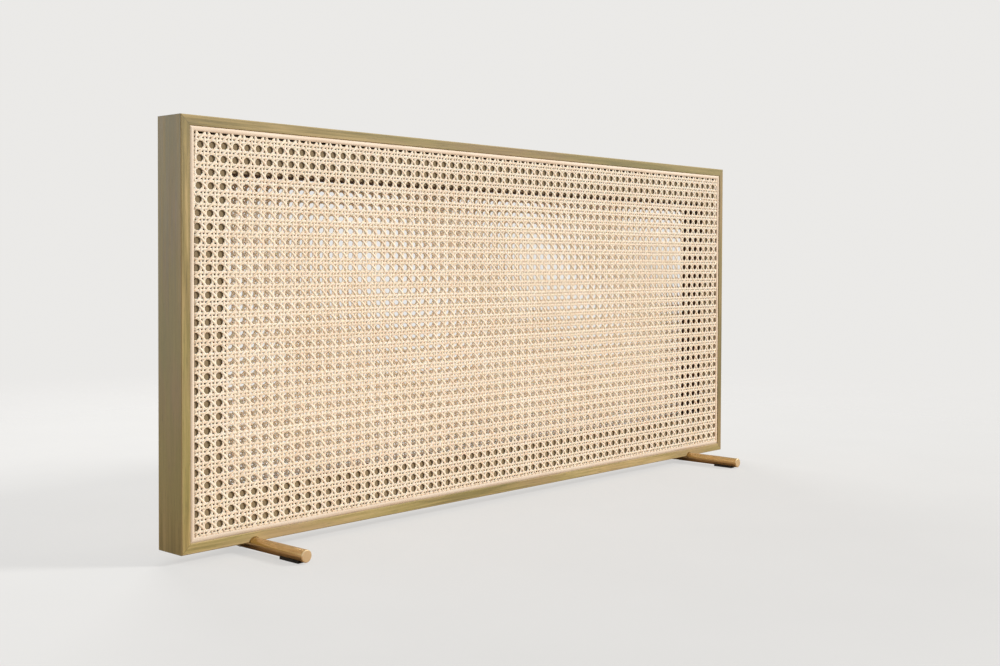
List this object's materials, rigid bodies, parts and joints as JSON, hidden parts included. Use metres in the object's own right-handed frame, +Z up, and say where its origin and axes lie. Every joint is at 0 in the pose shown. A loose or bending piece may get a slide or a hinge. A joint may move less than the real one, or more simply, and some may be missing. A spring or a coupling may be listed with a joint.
{
  "type": "cane desk screen",
  "caption": "Low free-standing desk screen: mitred wooden frame with woven cane webbing on both faces, standing on round brass rods with anti-slip pads.",
  "frame": {"origin": "on the resting plane, under the middle of the screen", "axes": "+X along the width, to the right seen from the front; the front faces -Y; +Z up"},
  "size_m": [0.9, 0.194, 0.409],
  "materials": {
    "frame_wood": "satin olive stain",
    "tenon_wood": "plain sanded",
    "cane": "natural cane, low sheen",
    "reed": "natural reed, matte",
    "rod_brass": "brushed satin",
    "screw_steel": "zinc",
    "pad_rubber": "matte"
  },
  "bodies": {
    "root": {"top_rail": "frame_wood", "bottom_rail": "frame_wood", "left_stile": "frame_wood", "right_stile": "frame_wood", "bottom_left_tenon": "tenon_wood", "bottom_right_tenon": "tenon_wood", "top_left_tenon": "tenon_wood", "top_right_tenon": "tenon_wood", "front_webbing": "cane", "back_webbing": "cane", "front_bottom_spline": "reed", "front_top_spline": "reed", "front_left_spline": "reed", "front_right_spline": "reed", "back_bottom_spline": "reed", "back_top_spline": "reed", "back_left_spline": "reed", "back_right_spline": "reed", "left_foot_rod": "rod_brass", "right_foot_rod": "rod_brass", "foot_screws": "screw_steel", "left_front_pad": "pad_rubber", "left_rear_pad": "pad_rubber", "right_front_pad": "pad_rubber", "right_rear_pad": "pad_rubber"}
  },
  "joints": []
}
